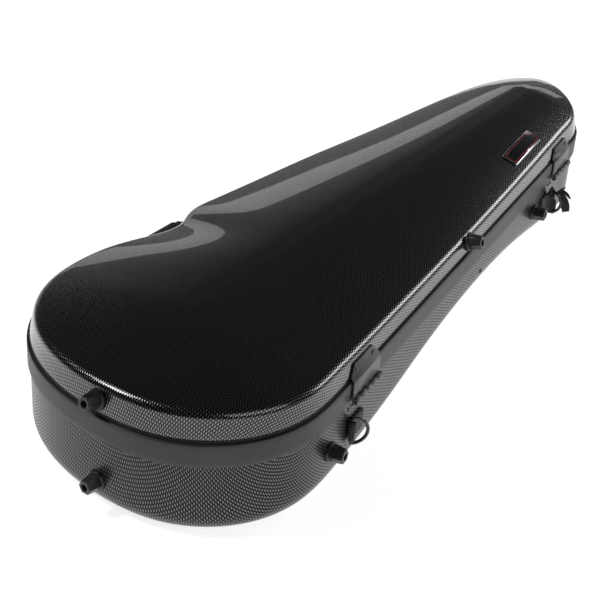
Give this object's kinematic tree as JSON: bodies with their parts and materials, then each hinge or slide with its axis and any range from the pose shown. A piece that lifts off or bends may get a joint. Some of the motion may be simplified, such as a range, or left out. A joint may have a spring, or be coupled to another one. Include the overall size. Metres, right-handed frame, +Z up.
{
  "type": "violin case",
  "caption": "Slim shaped hard case for a violin: crowned glossy weave-pattern lid, deep padded base, hinges, latches, handle, strap rings and rubber feet.",
  "frame": {"origin": "centre of the flat rest face under the wide end, on the surface the case stands on", "axes": "+Y from the wide end to the neck end, +X towards the hinge side, +Z up"},
  "size_m": [0.3042, 0.7906, 0.1245],
  "materials": {
    "carbon_lid": "high-gloss clear coat over a fine carbon-look weave",
    "carbon_base": "semi-gloss carbon-look weave",
    "rim_profile": "satin dark grey",
    "gasket_rubber": "matt",
    "foot_rubber": "satin black",
    "steel_screw": "dark zinc",
    "hinge_metal": "satin dark grey",
    "rivet_metal": "satin black",
    "ring_metal": "gloss black",
    "latch_metal": "satin black",
    "webbing": "woven",
    "ribbon_fabric": "satin ribbon",
    "handle_leather": "grained, stitched",
    "plush_lining": "short pile",
    "strap_fabric": "woven",
    "pouch_fabric": "short pile",
    "badge_metal": "black face, bright bevelled edge, red line",
    "black_plastic": "satin"
  },
  "bodies": {
    "base": {"accessory_pouch": "pouch_fabric", "base_liner": "plush_lining", "base_rim": "rim_profile", "base_shell": "carbon_base", "dring_tab_1": "webbing", "dring_tab_2": "webbing", "dring_tab_rivet_1": "rivet_metal", "dring_tab_rivet_2": "rivet_metal", "foot_base_end": "foot_rubber", "foot_base_far": "foot_rubber", "foot_base_near": "foot_rubber", "foot_screw_base_end": "steel_screw", "foot_screw_base_far": "steel_screw", "foot_screw_base_near": "steel_screw", "handle_bracket_1": "latch_metal", "handle_bracket_2": "latch_metal", "hinge_base_leaf_1": "hinge_metal", "hinge_base_leaf_2": "hinge_metal", "hinge_pin_1": "rivet_metal", "hinge_pin_2": "rivet_metal", "latch_pin_1": "latch_metal", "latch_pin_2": "latch_metal", "latch_plate_1": "latch_metal", "latch_plate_2": "latch_metal", "neck_cradle": "plush_lining", "neck_strap": "strap_fabric", "rim_gasket": "gasket_rubber", "wall_rivets_1": "rivet_metal", "wall_rivets_2": "rivet_metal", "wall_stud": "rivet_metal"},
    "lid": {"badge_plate": "badge_metal", "bow_mount_1": "black_plastic", "bow_mount_2": "black_plastic", "bow_pocket_1": "black_plastic", "bow_pocket_2": "black_plastic", "foot_lid_end": "foot_rubber", "foot_lid_side": "foot_rubber", "foot_screw_lid_end": "steel_screw", "foot_screw_lid_side": "steel_screw", "hinge_lid_leaf_1": "hinge_metal", "hinge_lid_leaf_2": "hinge_metal", "hinge_rivet_1a": "rivet_metal", "hinge_rivet_1b": "rivet_metal", "hinge_rivet_2a": "rivet_metal", "hinge_rivet_2b": "rivet_metal", "latch_keeper_1": "latch_metal", "latch_keeper_2": "latch_metal", "lid_liner": "plush_lining", "lid_shell": "carbon_lid"},
    "handle": {"handle": "handle_leather"},
    "latch_lever_1": {"latch_lever_1": "latch_metal"},
    "latch_bail_1": {"latch_bail_1": "latch_metal"},
    "latch_lever_2": {"latch_lever_2": "latch_metal"},
    "latch_bail_2": {"latch_bail_2": "latch_metal"},
    "dring_1": {"dring_1": "ring_metal"},
    "dring_2": {"dring_2": "ring_metal", "tag_ribbon": "ribbon_fabric"},
    "bow_spinner_1": {"bow_spinner_1": "black_plastic"},
    "bow_spinner_2": {"bow_spinner_2": "black_plastic"}
  },
  "joints": [
    {"name": "lid_hinge", "type": "hinge", "parent": "base", "child": "lid", "pos_m": [0.13429, 0.07767, 0.07], "axis": [-0.1195, 0.9928, 0], "range_deg": [0, 105]},
    {"name": "handle_swing", "type": "hinge", "parent": "base", "child": "handle", "pos_m": [-0.1285, 0.165, 0.074], "axis": [0, 1, 0], "range_deg": [0, 75]},
    {"name": "latch_lever_1_turn", "type": "hinge", "parent": "base", "child": "latch_lever_1", "pos_m": [-0.13702, 0.0807, 0.082], "axis": [0.253, 0.9675, 0], "range_deg": [0, 120]},
    {"name": "latch_bail_1_turn", "type": "hinge", "parent": "latch_lever_1", "child": "latch_bail_1", "pos_m": [-0.13798, 0.08096, 0.076], "axis": [0.253, 0.9675, 0], "range_deg": [-138, 0]},
    {"name": "latch_lever_2_turn", "type": "hinge", "parent": "base", "child": "latch_lever_2", "pos_m": [-0.07215, 0.60314, 0.082], "axis": [0.27, 0.9629, 0], "range_deg": [0, 120]},
    {"name": "latch_bail_2_turn", "type": "hinge", "parent": "latch_lever_2", "child": "latch_bail_2", "pos_m": [-0.07311, 0.60341, 0.076], "axis": [0.27, 0.9629, 0], "range_deg": [-138, 0]},
    {"name": "dring_1_swing", "type": "hinge", "parent": "base", "child": "dring_1", "pos_m": [0.13426, 0.05942, 0.038], "axis": [0, 0, 1], "range_deg": [-110, 30]},
    {"name": "dring_2_swing", "type": "hinge", "parent": "base", "child": "dring_2", "pos_m": [0.07772, 0.52941, 0.042], "axis": [0, 0, 1], "range_deg": [-40, 40]},
    {"name": "bow_spinner_1_turn", "type": "hinge", "parent": "lid", "child": "bow_spinner_1", "pos_m": [-0.026, -0.03, 0.097], "axis": [0, 0, 1], "range_deg": [-90, 90]},
    {"name": "bow_spinner_2_turn", "type": "hinge", "parent": "lid", "child": "bow_spinner_2", "pos_m": [0.026, -0.03, 0.097], "axis": [0, 0, 1], "range_deg": [-90, 90]}
  ],
  "couplings": [
    {"joint": "latch_bail_1_turn", "follows": "latch_lever_1_turn", "ratio": -1.15},
    {"joint": "latch_bail_2_turn", "follows": "latch_lever_2_turn", "ratio": -1.15}
  ]
}
